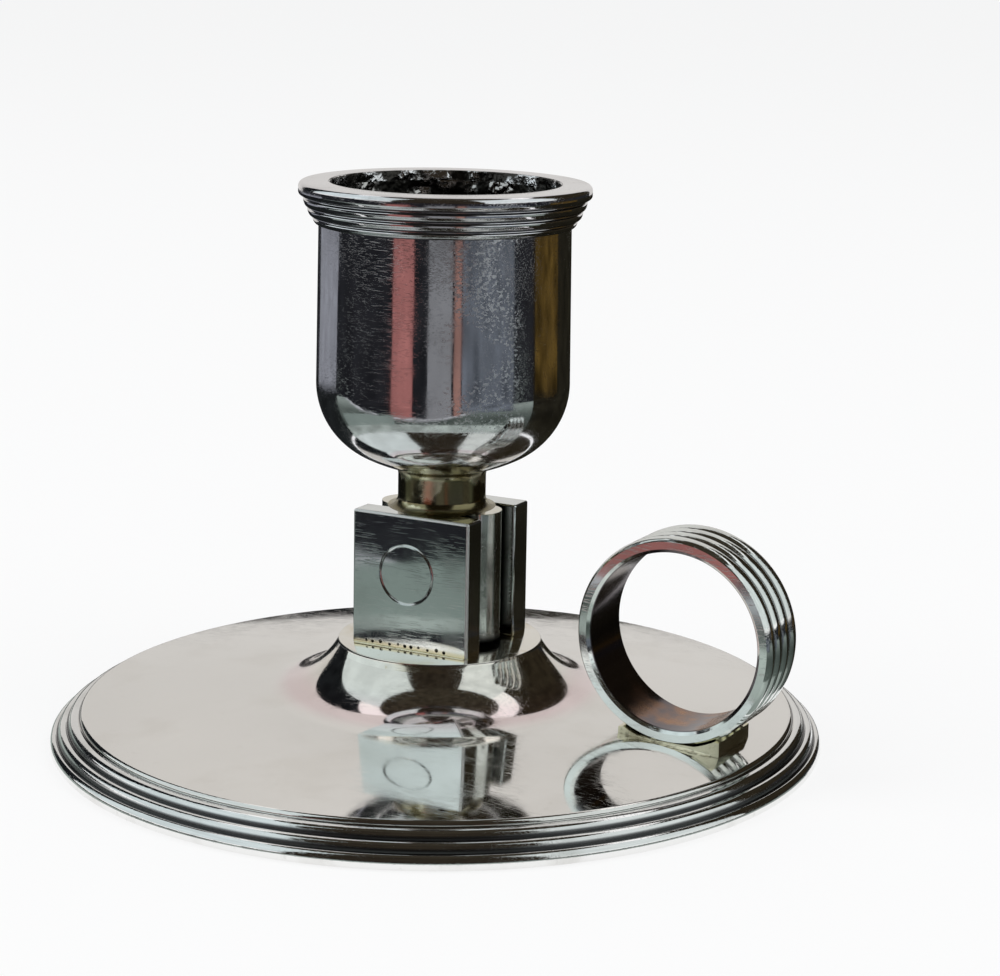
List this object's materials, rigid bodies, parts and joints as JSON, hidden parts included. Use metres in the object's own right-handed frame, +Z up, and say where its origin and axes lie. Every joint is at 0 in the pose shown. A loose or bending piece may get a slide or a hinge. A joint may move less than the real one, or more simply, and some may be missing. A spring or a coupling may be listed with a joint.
{
  "type": "taperstick",
  "caption": "Small polished silver taperstick: reeded round base, square stem block, round-bottomed candle socket with a moulded rim, and a reeded finger ring soldered to the base.",
  "frame": {"origin": "centre of the base on the table it stands on", "axes": "+Z up along the stem; +X from the stem to the finger ring; the engraved face of the block looks along -Y"},
  "size_m": [0.076, 0.076, 0.0552],
  "materials": {
    "plate_silver": "mirror polished, fine wear scratches and small dings",
    "border_silver": "mirror polished reeds, dark in the creases",
    "socle_silver": "mirror polished, yellowish along the solder seam",
    "slab_silver": "mirror polished with bright worn edges and fine scratches",
    "core_silver": "polished bars, tarnished dark in the grooves",
    "neck_silver": "polished with yellowish tarnish",
    "cup_silver": "mirror polished outside with hairline scratches, dark tarnish inside",
    "rim_silver": "mirror polished lip and reeds",
    "ring_silver": "polished reeds outside, brown and dark tarnish inside",
    "solder_silver": "dull yellowish hard solder"
  },
  "bodies": {
    "root": {"base_plate": "plate_silver", "reeded_border": "border_silver", "socle_disc": "socle_silver", "block_front_slab": "slab_silver", "block_back_slab": "slab_silver", "block_core": "core_silver", "neck": "neck_silver", "socket_cup": "cup_silver", "socket_rim": "rim_silver", "ring_handle": "ring_silver", "ring_seat": "solder_silver"}
  },
  "joints": []
}
